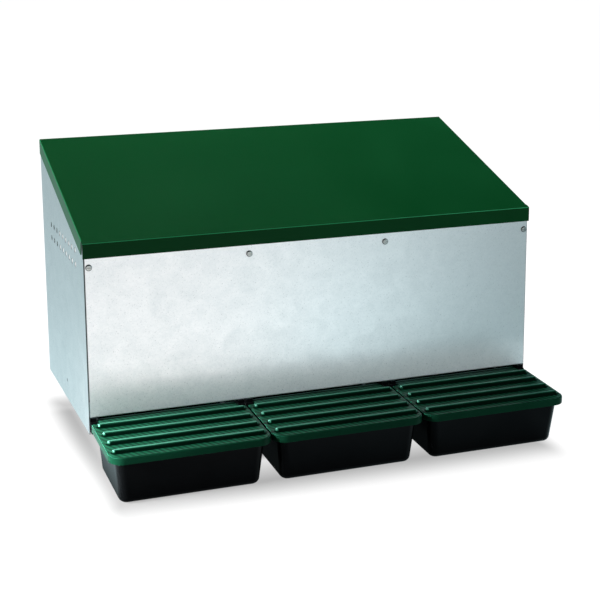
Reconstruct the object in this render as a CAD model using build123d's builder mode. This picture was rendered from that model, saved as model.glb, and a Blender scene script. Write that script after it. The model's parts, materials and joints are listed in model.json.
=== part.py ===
from build123d import *
import os
from math import atan, cos, hypot, radians, sin, tan

os.makedirs("parts", exist_ok=True)

# Folded sheet
SHEET = 1.0  # thickness of the galvanised and painted sheet
BEND_R = 2.2  # outside radius of a fold
RELIEF = 3.0  # a flange stops this far from the next fold

# Box, measured behind the front face and above the bottom edge
BOX_WIDTH = 900.0  # over the side panels
BOX_DEPTH = 418.0  # front face to rear plane
FRONT_HEIGHT = 360.0  # roof top at the front face
REAR_HEIGHT = 492.0  # roof top at the rear plane
NESTS = ("left", "centre", "right")
SIDES = {"left": -1, "right": 1}

# Wall holes in the rear flanges: the origin is the centre of their rectangle
WALL_HOLE_HEIGHT = 240.0  # centre of the rectangle above the bottom edge
WALL_HOLE_SPACING = 220.0  # vertical
WALL_HOLE_INSET = 16.0  # from the outside of the side panel
WALL_HOLE_R = 3.5

# Side panels
FRONT_FLANGE = 25.0
FRONT_FLANGE_RISE = 30.0  # starts above the front panel's lower edge, clear of the lids
REAR_FLANGE = 30.0
BASE_FLANGE = 20.0
TOP_FLANGE = 15.0
VENT_R = 5.5
VENT_COUNT = 9
VENT_ROWS = 2
VENT_PITCH = 30.4
VENT_ROW_PITCH = 27.0
VENT_CENTRE_BACK = 200.0
VENT_DROP = 42.0  # middle of the rows, below the roof's front edge
SIDE_HOLE_R = 3.25
SIDE_HOLE_BACK = 211.0
SIDE_HOLE_HEIGHT = 40.0

# Front panel and its screws
PANEL_BOTTOM = 32.0  # lower edge above the bottom edge of the box
PANEL_INSET = 2.0  # each end stops short of the outside of the box
PANEL_TOP_GAP = 6.0  # below the roof
PANEL_RETURN = 12.0  # folded back along the top and bottom
SCREW_DROP = 45.0  # below the roof's front edge
SCREW_INSET = 9.0  # from the outside of the box
SCREW_R = 3.0
SCREW_HEAD_R = 6.0
SCREW_HEAD_HEIGHT = 3.6
SCREW_LENGTH = 12.0
SCREW_SLOT = 1.4
SCREW_SLOT_DEPTH = 1.2
SCREW_CLEARANCE = 0.3
NUT_FLATS = 10.0
NUT_HEIGHT = 5.0
THREAD_CLEARANCE = 0.05

# Dividers
DIVIDER_FLANGE = 24.0  # front, towards the middle of the box
DIVIDER_REAR_FLANGE = 20.0
DIVIDER_TOP_GAP = 3.0  # below the roof
DIVIDER_NOTCH = 15.0  # clear of the front panel's folded edges

# Rails across the rear
RAIL_SETBACK = 9.0  # rail face in front of the rear plane
RAIL_JOGGLE = 2.0  # from the rear flange to the joggle
HEADER_HEIGHT = 55.0
HEADER_DROP = 11.0  # below the hinge axis, clear of the swinging roof
SILL_BOTTOM = 2.0
SILL_TOP = 95.0
SILL_RIVET_DROP = 11.0  # below the top of the sill
RIVET_R = 2.4
RIVET_HEAD_R = 4.75
RIVET_HEAD_HEIGHT = 1.6
RIVET_TAIL_R = 3.5
RIVET_TAIL_HEIGHT = 2.5
RIVET_CLEARANCE = 0.1

# Roof and its hinges
ROOF_CLEARANCE = 0.6  # roof flanges to the panels
ROOF_SEAT = 0.3  # roof underside to the side panels' top flanges
ROOF_FLANGE = 28.0
ROOF_LIP = 28.0
ROOF_CORNER_GAP = 8.0  # side flange starts behind the front face
ROOF_REAR_GAP = 3.0  # rear edge in front of the rear plane
HINGE_INSET = 150.0  # middle of a hinge from the outside of the box
HINGE_WIDTH = 40.0
HINGE_LEAF = 28.0  # reach of a leaf from the axis
LEAF_THICKNESS = 1.5
KNUCKLE_R = 3.0
KNUCKLE_GAP = 0.3
KNUCKLE_ROOF_GAP = 0.5
MIDDLE_KNUCKLE = 16.0
HINGE_PIN_R = 1.5
HINGE_PIN_HEAD_R = 2.6
HINGE_PIN_HEAD = 1.2
RUNNING_CLEARANCE = 0.05
PRESS_CLEARANCE = 0.02

# Nest floors and mats
FLOOR_FRONT = 98.0  # front edge behind the front face
FLOOR_FRONT_HEIGHT = 8.0
FLOOR_REAR_HEIGHT = 52.0
FLOOR_REAR_GAP = 3.0  # rear upturn to the rails
FLOOR_UPTURN = 22.0
FLOOR_SKIRT_HEIGHT = 2.0  # lower edge of the side skirts
MAT_THICKNESS = 5.0
MAT_MARGIN = 10.0
MAT_CORNER_R = 12.0
MAT_SLOT_LENGTH = 44.0
MAT_SLOT_WIDTH = 8.0
MAT_SLOT_COLUMNS = 4
MAT_SLOT_ROWS = 6

# Tray runners
RUNNER_LEG = 20.0
RUNNER_HEIGHT = 30.0  # outside
RUNNER_FRONT = 16.0
RUNNER_REAR = 97.0

# Tray lids, measured from the hinge axis, which tilts with the tray
LID_AXIS_FORWARD = 1.5  # in front of the front face
LID_AXIS_HEIGHT = 20.0
TRAY_TILT = 2.7  # degrees, front down
TRAY_GAP = 2.0  # between neighbouring lids
LID_TOP = 3.6  # above the axis, and radius of the hinge knuckles
LID_WALL = 2.5
LID_REACH = 172.0  # front edge
LID_SHOULDER = 6.0  # rear edge of the main plate
LID_SKIRT = 13.0
LID_CORNER_R = 26.0
LID_EDGE_R = 2.4
LID_TONGUE = 17.0  # rear edge of the tongue
TONGUE_INSET = 14.5  # from the side of the lid
TONGUE_CORNER_R = 6.0
LID_KNUCKLE = 16.0
RIB_COUNT = 4
RIB_PITCH = 40.0
FIRST_RIB = 25.5
RIB_WIDTH = 13.0
RIB_HEIGHT = 7.0
RIB_EDGE_R = 5.0
RIB_MARGIN = 10.0

# Egg trays
TUB_WALL = 2.5
TUB_INSET = 11.0  # wall inside the lid's edge, at the rim
TUB_DRAFT = 5.0  # degrees
TUB_CORNER_R = 16.0
TUB_BASE_R = 12.0
TUB_FLOOR = 93.0  # underside below the axis
TUB_REAR = 11.0  # rear wall behind the axis
RIM_CLEARANCE = 1.0  # rim to the inside of the lid's skirt
LID_SEAT = 0.3  # rim to the underside of the lid
RIM_REAR = 9.0  # rim ends in front of the axis
SWING_DEPTH = 19.0  # tub sides are cut down for the tongue
WINDOW_INSET = 29.5  # side of the egg way to the middle plane between trays
RAMP_FRONT = 5.0  # behind the front face
RAMP_FRONT_HEIGHT = -42.0
RAMP_REAR = 104.0
RAMP_REAR_HEIGHT = 3.0
CHEEK_STEP = 18.0  # cheeks rise to the arms from here
ARM_REAR = 95.0
ARM_WIDTH = 11.0
ARM_SIDE_CLEARANCE = 2.5  # arm to the middle plane between trays
ARM_CLEARANCE = 0.3  # arm to runner, above and below
ARM_FRONT = 2.0  # full height from here back
EAR_R = 4.5
LID_PIN_R = 2.5
LID_PIN_HEAD_R = 3.4
LID_PIN_HEAD = 1.0

# Derived sizes
HALF_WIDTH = BOX_WIDTH / 2
INNER_HALF = HALF_WIDTH - SHEET
NEST_PITCH = BOX_WIDTH / len(NESTS)
RISE = (REAR_HEIGHT - FRONT_HEIGHT) / BOX_DEPTH
SLOPE = atan(RISE)
ROOF_HALF = HALF_WIDTH + ROOF_CLEARANCE + SHEET
RAIL_FACE = BOX_DEPTH - RAIL_SETBACK - SHEET
HINGE_BACK = RAIL_FACE + KNUCKLE_R - LEAF_THICKNESS
LID_WIDTH = NEST_PITCH - TRAY_GAP
RIM_TOP = LID_TOP - LID_WALL - LID_SEAT
FLOOR_REAR = RAIL_FACE - FLOOR_REAR_GAP
RUNNER_BOTTOM = SHEET
ARM_BOTTOM = RUNNER_BOTTOM + SHEET + ARM_CLEARANCE
ARM_TOP = RUNNER_BOTTOM + RUNNER_HEIGHT - SHEET - ARM_CLEARANCE
ARM_OUTER = NEST_PITCH / 2 - ARM_SIDE_CLEARANCE
ARM_INNER = ARM_OUTER - ARM_WIDTH
WINDOW_HALF_WIDTH = NEST_PITCH / 2 - WINDOW_INSET
SCREW_HEIGHT = FRONT_HEIGHT - SCREW_DROP
HINGE_X = HALF_WIDTH - HINGE_INSET


def back(distance):
    """Y of a place this far behind the front face."""
    return distance - BOX_DEPTH


def up(height):
    """Z of a place this far above the bottom edge of the box."""
    return height - WALL_HOLE_HEIGHT


def roof_line(distance, depth):
    """Z on the line parallel to the roof's top face and this deep under it."""
    return up(FRONT_HEIGHT + RISE * distance - depth / cos(SLOPE))


HINGE_Y = back(HINGE_BACK)
HINGE_Z = roof_line(HINGE_BACK, SHEET + KNUCKLE_ROOF_GAP + KNUCKLE_R)
SWEEP_R = hypot(BOX_DEPTH - ROOF_REAR_GAP - HINGE_BACK, roof_line(BOX_DEPTH - ROOF_REAR_GAP, 0) - HINGE_Z)
PANEL_TOP = FRONT_HEIGHT - (SHEET + PANEL_TOP_GAP) / cos(SLOPE)
WALL_HOLE_X = HALF_WIDTH - WALL_HOLE_INSET
DIVIDER_X = NEST_PITCH / 2
SCREW_PLACES = [
    (-HALF_WIDTH + SCREW_INSET, up(SCREW_HEIGHT)),
    (-DIVIDER_X + DIVIDER_FLANGE / 2, up(SCREW_HEIGHT)),
    (DIVIDER_X - DIVIDER_FLANGE / 2, up(SCREW_HEIGHT)),
    (HALF_WIDTH - SCREW_INSET, up(SCREW_HEIGHT)),
]
HEADER_TOP = HINGE_Z - HEADER_DROP
HEADER_MIDDLE = HEADER_TOP - HEADER_HEIGHT / 2
SILL_RIVET_Z = up(SILL_TOP - SILL_RIVET_DROP)
DIVIDER_RIVET_X = DIVIDER_X - DIVIDER_REAR_FLANGE / 2
HINGE_RIVET_Z = HINGE_Z - (HEADER_DROP + HINGE_LEAF) / 2


def facing_front(y):
    """Plane at this Y whose normal looks out of the front of the box."""
    return Plane.XZ.offset(-y)


def folded_sheet(points, side, bend=BEND_R):
    """Profile of a sheet folded along the points, which lie on its outer face."""
    with BuildLine() as outline:
        FilletPolyline(*points, radius=bend)
        offset(amount=SHEET, side=side)
    make_face(outline.edges())


def plate(points):
    """Profile with straight edges."""
    with BuildLine() as outline:
        Polyline(*points, close=True)
    make_face(outline.edges())


def keep_under_roof(depth):
    """Trim what stands above the line this deep under the roof's top face."""
    cut = Plane(origin=(0, back(0), roof_line(0, depth)), z_dir=(0, -sin(SLOPE), cos(SLOPE)))
    split(bisect_by=cut, keep=Keep.BOTTOM)


def save(part, name):
    part.label = name
    export_step(part, f"parts/{name}.step")


# Side panels: front and rear flanges folded from one sheet, then the base and top flanges
def side_panel(side):
    wall = side * HALF_WIDTH
    inside = Side.LEFT if side > 0 else Side.RIGHT
    inner = side * INNER_HALF
    with BuildPart() as panel:
        with BuildSketch(Plane.XY.offset(up(0))):
            folded_sheet(
                [
                    (wall - side * FRONT_FLANGE, back(SHEET)),
                    (wall, back(SHEET)),
                    (wall, back(BOX_DEPTH)),
                    (wall - side * REAR_FLANGE, back(BOX_DEPTH)),
                ],
                inside,
            )
        extrude(amount=REAR_HEIGHT)
        keep_under_roof(SHEET + ROOF_SEAT)
        # The front flange leaves room for the tray arms and the front panel's folded edges
        flange_low = up(PANEL_BOTTOM + FRONT_FLANGE_RISE)
        flange_high = up(PANEL_TOP - SHEET - RELIEF)
        with BuildSketch(Plane.YZ.offset(inner)):
            plate([(back(0), up(0)), (back(DIVIDER_NOTCH), up(0)), (back(DIVIDER_NOTCH), flange_low),
                   (back(0), flange_low)])
            plate([(back(0), flange_high), (back(DIVIDER_NOTCH), flange_high),
                   (back(DIVIDER_NOTCH), up(REAR_HEIGHT)), (back(0), up(REAR_HEIGHT))])
        extrude(amount=-side * FRONT_FLANGE, mode=Mode.SUBTRACT)
        # The rear top corner is cut away where the rear edge of the roof swings down
        notch = SWEEP_R + ROOF_CLEARANCE
        with BuildSketch(Plane.YZ.offset(wall)):
            plate([(HINGE_Y - notch, HINGE_Z - notch), (back(BOX_DEPTH), HINGE_Z - notch),
                   (back(BOX_DEPTH), up(REAR_HEIGHT)), (HINGE_Y - notch, up(REAR_HEIGHT))])
        extrude(amount=-side * REAR_FLANGE, mode=Mode.SUBTRACT)
        with BuildSketch(Plane.YZ.offset(inner)):
            plate([(back(FLOOR_FRONT), up(0)), (back(BOX_DEPTH - RELIEF), up(0)),
                   (back(BOX_DEPTH - RELIEF), up(SHEET)), (back(FLOOR_FRONT), up(SHEET))])
        extrude(amount=-side * BASE_FLANGE)
        top_end = HINGE_BACK - notch - RELIEF
        seat = SHEET + ROOF_SEAT
        with BuildSketch(Plane.YZ.offset(inner)):
            plate([(back(DIVIDER_NOTCH), roof_line(DIVIDER_NOTCH, seat)),
                   (back(top_end), roof_line(top_end, seat)),
                   (back(top_end), roof_line(top_end, seat + SHEET)),
                   (back(DIVIDER_NOTCH), roof_line(DIVIDER_NOTCH, seat + SHEET))])
        extrude(amount=-side * TOP_FLANGE)
        with BuildSketch(Plane.YZ.offset(wall)):
            with Locations((back(VENT_CENTRE_BACK), up(FRONT_HEIGHT - VENT_DROP))):
                with GridLocations(VENT_PITCH, VENT_ROW_PITCH, VENT_COUNT, VENT_ROWS):
                    Circle(VENT_R)
            with Locations((back(SIDE_HOLE_BACK), up(SIDE_HOLE_HEIGHT))):
                Circle(SIDE_HOLE_R)
        extrude(amount=-side * SHEET, mode=Mode.SUBTRACT)
        with BuildSketch(facing_front(back(BOX_DEPTH))):
            with Locations((side * WALL_HOLE_X, 0)):
                with GridLocations(0, WALL_HOLE_SPACING, 1, 2):
                    Circle(WALL_HOLE_R)
        extrude(amount=SHEET, mode=Mode.SUBTRACT)
        with BuildSketch(facing_front(back(SHEET))):
            with Locations((side * (HALF_WIDTH - SCREW_INSET), up(SCREW_HEIGHT))):
                Circle(SCREW_R + SCREW_CLEARANCE)
        extrude(amount=-SHEET, mode=Mode.SUBTRACT)
    return panel.part


for name, side in SIDES.items():
    save(side_panel(side), f"{name}_side_panel")


# Front panel, with its top and bottom edges folded back
panel_half = HALF_WIDTH - PANEL_INSET
with BuildPart() as front_panel:
    with BuildSketch(Plane.YZ.offset(-panel_half)):
        folded_sheet(
            [
                (back(PANEL_RETURN), up(PANEL_BOTTOM)),
                (back(0), up(PANEL_BOTTOM)),
                (back(0), up(PANEL_TOP)),
                (back(PANEL_RETURN), up(PANEL_TOP)),
            ],
            Side.RIGHT,
        )
    extrude(amount=2 * panel_half)
    with BuildSketch(facing_front(back(0))):
        with Locations(*SCREW_PLACES):
            Circle(SCREW_R + SCREW_CLEARANCE)
    extrude(amount=-SHEET, mode=Mode.SUBTRACT)
save(front_panel.part, "front_panel")


# Dividers, with flanges folded towards the middle of the box
def divider(side):
    outer = side * (DIVIDER_X + SHEET / 2)
    inner = side * (DIVIDER_X - SHEET / 2)
    inside = Side.LEFT if side > 0 else Side.RIGHT
    with BuildPart() as sheet:
        with BuildSketch(Plane.XY.offset(up(0))):
            folded_sheet(
                [
                    (outer - side * DIVIDER_FLANGE, back(SHEET)),
                    (outer, back(SHEET)),
                    (outer, back(RAIL_FACE)),
                    (outer - side * DIVIDER_REAR_FLANGE, back(RAIL_FACE)),
                ],
                inside,
            )
        extrude(amount=REAR_HEIGHT)
        keep_under_roof(SHEET + DIVIDER_TOP_GAP)
        low = up(PANEL_BOTTOM + DIVIDER_NOTCH)
        high = up(PANEL_TOP - DIVIDER_NOTCH)
        with BuildSketch(Plane.YZ.offset(outer)):
            plate([(back(0), up(0)), (back(DIVIDER_NOTCH), up(0)), (back(DIVIDER_NOTCH), low), (back(0), low)])
            plate([(back(0), high), (back(DIVIDER_NOTCH), high), (back(DIVIDER_NOTCH), up(REAR_HEIGHT)),
                   (back(0), up(REAR_HEIGHT))])
        extrude(amount=-side * DIVIDER_FLANGE, mode=Mode.SUBTRACT)
        with BuildSketch(Plane.YZ.offset(inner)):
            plate([(back(FLOOR_FRONT), up(0)), (back(RAIL_FACE - RELIEF), up(0)),
                   (back(RAIL_FACE - RELIEF), up(SHEET)), (back(FLOOR_FRONT), up(SHEET))])
        extrude(amount=-side * BASE_FLANGE)
        with BuildSketch(facing_front(back(SHEET))):
            with Locations((side * (DIVIDER_X - DIVIDER_FLANGE / 2), up(SCREW_HEIGHT))):
                Circle(SCREW_R + SCREW_CLEARANCE)
        extrude(amount=-SHEET, mode=Mode.SUBTRACT)
        with BuildSketch(facing_front(back(RAIL_FACE))):
            with Locations((side * DIVIDER_RIVET_X, HEADER_MIDDLE), (side * DIVIDER_RIVET_X, SILL_RIVET_Z)):
                Circle(RIVET_R + RIVET_CLEARANCE)
        extrude(amount=SHEET, mode=Mode.SUBTRACT)
    return sheet.part


for name, side in SIDES.items():
    save(divider(side), f"{name}_divider")


# Rails across the rear: joggled ends lie on the side panels' rear flanges
def rear_rail(low, high, rivet_places):
    joggle = HALF_WIDTH - REAR_FLANGE - RAIL_JOGGLE
    end = INNER_HALF - BEND_R
    lip = back(BOX_DEPTH - SHEET)
    face = back(BOX_DEPTH - RAIL_SETBACK)
    with BuildPart() as rail:
        with BuildSketch(Plane.XY.offset(low)):
            folded_sheet(
                [(-end, lip), (-joggle, lip), (-joggle, face), (joggle, face), (joggle, lip), (end, lip)],
                Side.RIGHT,
            )
        extrude(amount=high - low)
        for edge in (low, high - SHEET):
            with BuildSketch(Plane.XY.offset(edge)):
                plate([(-joggle + RELIEF, face), (joggle - RELIEF, face), (joggle - RELIEF, lip),
                       (-joggle + RELIEF, lip)])
            extrude(amount=SHEET)
        with BuildSketch(facing_front(face)):
            with Locations(*rivet_places):
                Circle(RIVET_R + RIVET_CLEARANCE)
        extrude(amount=SHEET, mode=Mode.SUBTRACT)
    return rail.part


HINGE_RIVETS = [
    (side * HINGE_X + offset_x, HINGE_RIVET_Z)
    for side in SIDES.values()
    for offset_x in (-HINGE_WIDTH / 4, HINGE_WIDTH / 4)
]
HEADER_RIVETS = [(side * DIVIDER_RIVET_X, HEADER_MIDDLE) for side in SIDES.values()]
SILL_RIVETS = [(side * DIVIDER_RIVET_X, SILL_RIVET_Z) for side in SIDES.values()]
save(rear_rail(HEADER_TOP - HEADER_HEIGHT, HEADER_TOP, HINGE_RIVETS + HEADER_RIVETS), "rear_header")
save(rear_rail(up(SILL_BOTTOM), up(SILL_TOP), SILL_RIVETS), "rear_sill")


# Roof: the lip folds down along the front, the flanges along the sides
lip_y = back(-ROOF_CLEARANCE - SHEET)
lip_top = roof_line(-ROOF_CLEARANCE - SHEET, 0)
along_slope = Plane(
    origin=(0, back(ROOF_CORNER_GAP), roof_line(ROOF_CORNER_GAP, 0)),
    x_dir=(1, 0, 0),
    z_dir=(0, cos(SLOPE), sin(SLOPE)),
)
with BuildPart() as roof:
    with BuildSketch(Plane.YZ.offset(-ROOF_HALF)):
        folded_sheet(
            [
                (lip_y, lip_top - ROOF_LIP),
                (lip_y, lip_top),
                (back(ROOF_CORNER_GAP + SHEET), roof_line(ROOF_CORNER_GAP + SHEET, 0)),
            ],
            Side.RIGHT,
        )
    extrude(amount=2 * ROOF_HALF)
    with BuildSketch(along_slope):
        folded_sheet(
            [(-ROOF_HALF, ROOF_FLANGE), (-ROOF_HALF, 0), (ROOF_HALF, 0), (ROOF_HALF, ROOF_FLANGE)],
            Side.LEFT,
        )
    extrude(amount=BOX_DEPTH / cos(SLOPE))
    split(bisect_by=facing_front(back(BOX_DEPTH - ROOF_REAR_GAP)), keep=Keep.TOP)
save(roof.part, "roof")


# Roof hinges: one leaf on the header, one under the roof, on a pin
def knuckles(centre, spans, bore):
    """Hinge knuckles along X at the axis, with the bore through them."""
    for start, end in spans:
        with BuildSketch(Plane.YZ.offset(centre + start)) as barrel:
            with Locations((HINGE_Y, HINGE_Z)):
                Circle(KNUCKLE_R)
        extrude(barrel.sketch, amount=end - start)
    with BuildSketch(Plane.YZ.offset(centre - HINGE_WIDTH / 2)) as hole:
        with Locations((HINGE_Y, HINGE_Z)):
            Circle(bore)
    extrude(hole.sketch, amount=HINGE_WIDTH, mode=Mode.SUBTRACT)


def frame_leaf(centre):
    near = HINGE_Y - KNUCKLE_R
    far = near + LEAF_THICKNESS
    top = HINGE_Z - KNUCKLE_R - KNUCKLE_GAP
    middle = MIDDLE_KNUCKLE / 2 + KNUCKLE_GAP
    spans = [(-HINGE_WIDTH / 2, -middle), (middle, HINGE_WIDTH / 2)]
    with BuildPart() as leaf:
        with BuildSketch(Plane.YZ.offset(centre - HINGE_WIDTH / 2)):
            plate([(near, HINGE_Z - HINGE_LEAF), (far, HINGE_Z - HINGE_LEAF), (far, top), (near, top)])
        extrude(amount=HINGE_WIDTH)
        for start, end in spans:
            with BuildSketch(Plane.YZ.offset(centre + start)):
                plate([(near, top), (far, top), (far, HINGE_Z), (near, HINGE_Z)])
            extrude(amount=end - start)
        knuckles(centre, spans, HINGE_PIN_R + PRESS_CLEARANCE)
        with BuildSketch(facing_front(near)):
            with Locations((centre, HINGE_RIVET_Z)):
                with GridLocations(HINGE_WIDTH / 2, 0, 2, 1):
                    Circle(RIVET_R + RIVET_CLEARANCE)
        extrude(amount=-LEAF_THICKNESS, mode=Mode.SUBTRACT)
    return leaf.part


def roof_leaf(centre):
    top = KNUCKLE_R + KNUCKLE_ROOF_GAP
    bottom = top - LEAF_THICKNESS
    start = KNUCKLE_R + KNUCKLE_GAP
    under_roof = Plane(
        origin=(centre, HINGE_Y, HINGE_Z),
        x_dir=(0, -cos(SLOPE), -sin(SLOPE)),
        z_dir=(-1, 0, 0),
    )
    with BuildPart() as leaf:
        with BuildSketch(under_roof):
            plate([(start, bottom), (HINGE_LEAF, bottom), (HINGE_LEAF, top), (start, top)])
        extrude(amount=HINGE_WIDTH / 2, both=True)
        with BuildSketch(under_roof):
            plate([(0, bottom), (start, bottom), (start, top), (0, top)])
        extrude(amount=MIDDLE_KNUCKLE / 2, both=True)
        knuckles(centre, [(-MIDDLE_KNUCKLE / 2, MIDDLE_KNUCKLE / 2)], HINGE_PIN_R + RUNNING_CLEARANCE)
    return leaf.part


def hinge_pin(centre):
    with BuildPart() as pin:
        with BuildSketch(Plane.YZ.offset(centre - HINGE_WIDTH / 2)):
            with Locations((HINGE_Y, HINGE_Z)):
                Circle(HINGE_PIN_R)
        extrude(amount=HINGE_WIDTH)
        for end, out in ((-HINGE_WIDTH / 2, -1), (HINGE_WIDTH / 2, 1)):
            with BuildSketch(Plane.YZ.offset(centre + end)):
                with Locations((HINGE_Y, HINGE_Z)):
                    Circle(HINGE_PIN_HEAD_R)
            extrude(amount=out * HINGE_PIN_HEAD)
    return pin.part


for name, side in SIDES.items():
    centre = side * HINGE_X
    save(frame_leaf(centre), f"{name}_hinge_frame_leaf")
    save(roof_leaf(centre), f"{name}_hinge_roof_leaf")
    save(hinge_pin(centre), f"{name}_hinge_pin")


# Nest floors: sloped sheets with side skirts and a rear upturn
FLOOR_RISE = (FLOOR_REAR_HEIGHT - FLOOR_FRONT_HEIGHT) / (FLOOR_REAR - FLOOR_FRONT)
FLOOR_ANGLE = atan(FLOOR_RISE)


def nest_span(index):
    """X of the two walls that a nest lies between."""
    left = -INNER_HALF if index == 0 else (index - 1.5) * NEST_PITCH + SHEET / 2
    right = INNER_HALF if index == len(NESTS) - 1 else (index - 0.5) * NEST_PITCH - SHEET / 2
    return left, right


def floor_height(distance):
    """Height of a nest floor's top face above the bottom edge."""
    return FLOOR_FRONT_HEIGHT + FLOOR_RISE * (distance - FLOOR_FRONT)


def nest_floor(index):
    left, right = nest_span(index)
    with BuildPart() as floor:
        with BuildSketch(Plane.YZ.offset(left)):
            folded_sheet(
                [
                    (back(FLOOR_FRONT), up(FLOOR_FRONT_HEIGHT)),
                    (back(FLOOR_REAR - SHEET), up(floor_height(FLOOR_REAR - SHEET))),
                    (back(FLOOR_REAR - SHEET), up(FLOOR_REAR_HEIGHT + FLOOR_UPTURN)),
                ],
                Side.RIGHT,
            )
        extrude(amount=right - left)
        for wall, inward in ((left, 1), (right, -1)):
            with BuildSketch(Plane.YZ.offset(wall)):
                plate([(back(FLOOR_FRONT), up(FLOOR_SKIRT_HEIGHT)),
                       (back(FLOOR_REAR - RELIEF), up(FLOOR_SKIRT_HEIGHT)),
                       (back(FLOOR_REAR - RELIEF), up(floor_height(FLOOR_REAR - RELIEF) - SHEET / 2)),
                       (back(FLOOR_FRONT), up(FLOOR_FRONT_HEIGHT - SHEET / 2))])
            extrude(amount=inward * SHEET)
    return floor.part


def nest_mat(index):
    left, right = nest_span(index)
    length = (FLOOR_REAR - FLOOR_FRONT) / cos(FLOOR_ANGLE) - 2 * MAT_MARGIN
    width = right - left - 2 * MAT_MARGIN
    middle = (FLOOR_FRONT + FLOOR_REAR) / 2
    on_floor = Plane(
        origin=((left + right) / 2, back(middle), up(floor_height(middle))),
        x_dir=(1, 0, 0),
        z_dir=(0, -sin(FLOOR_ANGLE), cos(FLOOR_ANGLE)),
    )
    with BuildPart() as mat:
        with BuildSketch(on_floor):
            RectangleRounded(width, length, MAT_CORNER_R)
            pitch_x = width / MAT_SLOT_COLUMNS
            pitch_y = length / MAT_SLOT_ROWS
            with GridLocations(pitch_x, pitch_y, MAT_SLOT_COLUMNS, MAT_SLOT_ROWS):
                Rectangle(MAT_SLOT_LENGTH, MAT_SLOT_WIDTH, mode=Mode.SUBTRACT)
        extrude(amount=MAT_THICKNESS)
    return mat.part


for index, name in enumerate(NESTS):
    save(nest_floor(index), f"{name}_nest_floor")
    save(nest_mat(index), f"{name}_nest_mat")


# Tray runners: channels on the walls, open towards the arms that they carry
def tray_runner(wall, inward):
    with BuildPart() as runner:
        with BuildSketch(facing_front(back(RUNNER_FRONT))):
            folded_sheet(
                [
                    (wall + inward * RUNNER_LEG, up(RUNNER_BOTTOM)),
                    (wall, up(RUNNER_BOTTOM)),
                    (wall, up(RUNNER_BOTTOM + RUNNER_HEIGHT)),
                    (wall + inward * RUNNER_LEG, up(RUNNER_BOTTOM + RUNNER_HEIGHT)),
                ],
                Side.RIGHT if inward > 0 else Side.LEFT,
            )
        extrude(amount=RUNNER_FRONT - RUNNER_REAR)
    return runner.part


for index, name in enumerate(NESTS):
    left, right = nest_span(index)
    save(tray_runner(left, 1), f"{name}_tray_left_runner")
    save(tray_runner(right, -1), f"{name}_tray_right_runner")


# Egg trays and lids share a frame at the lid's hinge axis, tilted with the tray
def tray_frame(x):
    return Plane(
        origin=(x, back(-LID_AXIS_FORWARD), up(LID_AXIS_HEIGHT)),
        x_dir=(1, 0, 0),
        z_dir=(0, -sin(radians(TRAY_TILT)), cos(radians(TRAY_TILT))),
    )


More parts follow.
